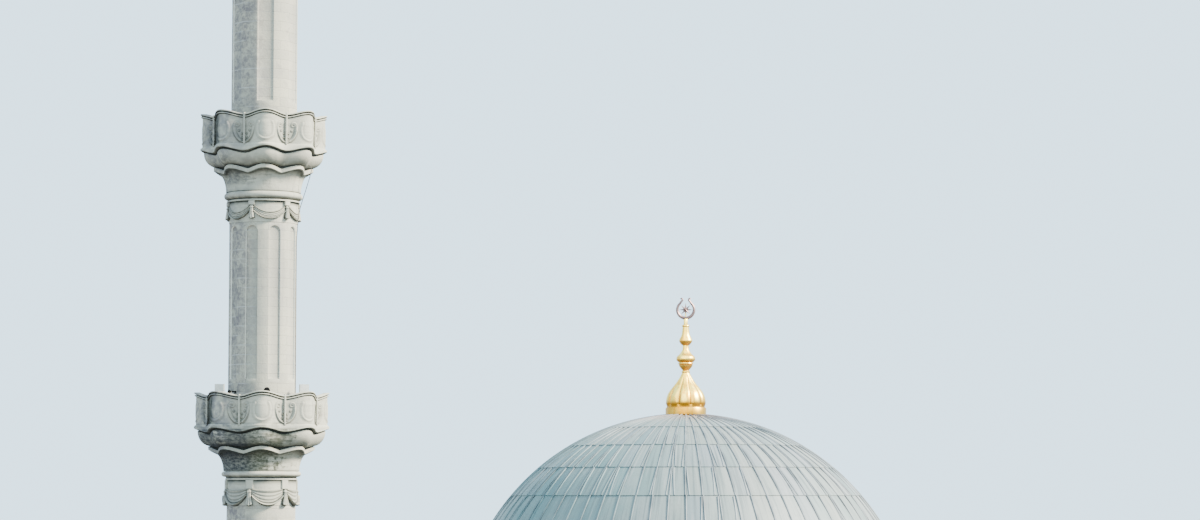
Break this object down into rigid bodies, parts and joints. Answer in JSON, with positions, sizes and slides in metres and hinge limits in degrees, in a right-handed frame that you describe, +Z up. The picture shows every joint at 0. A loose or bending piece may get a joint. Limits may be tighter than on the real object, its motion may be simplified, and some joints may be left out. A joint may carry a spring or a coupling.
{
  "type": "domed mosque building with a minaret, model at 1:2",
  "caption": "Hollow square prayer hall with great arches, a windowed drum and a lead dome, beside a fluted stone minaret with lobed balconies; model at half size.",
  "frame": {"origin": "middle of the prayer hall on the ground, on the underside of the floor slab", "axes": "+X right, +Y back, away from the entrance, +Z up"},
  "size_m": [11.045, 9.4053, 25.0503],
  "materials": {
    "ashlar": "weathered pale limestone in courses",
    "carved_stone": "carved pale limestone with dark streaks",
    "lead": "weathered grey lead sheet, dull",
    "gilding": "gilded copper, satin"
  },
  "bodies": {
    "root": {"floor_slab": "ashlar", "entrance_steps": "ashlar", "portal_surround": "carved_stone", "front_wall": "ashlar", "front_great_arch": "carved_stone", "front_tympanum": "ashlar", "right_wall": "ashlar", "right_great_arch": "carved_stone", "right_tympanum": "ashlar", "back_wall": "ashlar", "back_great_arch": "carved_stone", "back_tympanum": "ashlar", "left_wall": "ashlar", "left_great_arch": "carved_stone", "left_tympanum": "ashlar", "back_right_tower": "ashlar", "back_right_tower_cap": "lead", "back_right_pendentive": "lead", "back_left_tower": "ashlar", "back_left_tower_cap": "lead", "back_left_pendentive": "lead", "front_left_tower": "ashlar", "front_left_tower_cap": "lead", "front_left_pendentive": "lead", "front_right_tower": "ashlar", "front_right_tower_cap": "lead", "front_right_pendentive": "lead", "drum": "ashlar", "drum_cornice": "carved_stone", "dome": "lead", "dome_finial": "gilding", "minaret_base": "ashlar", "minaret_foot": "ashlar", "lower_shaft": "ashlar", "middle_shaft": "ashlar", "upper_shaft": "ashlar", "lower_balcony_corbel": "carved_stone", "lower_balcony_parapet": "carved_stone", "upper_balcony_corbel": "carved_stone", "upper_balcony_parapet": "carved_stone", "minaret_cornice": "carved_stone", "minaret_cone": "lead", "minaret_finial": "gilding"}
  },
  "joints": []
}
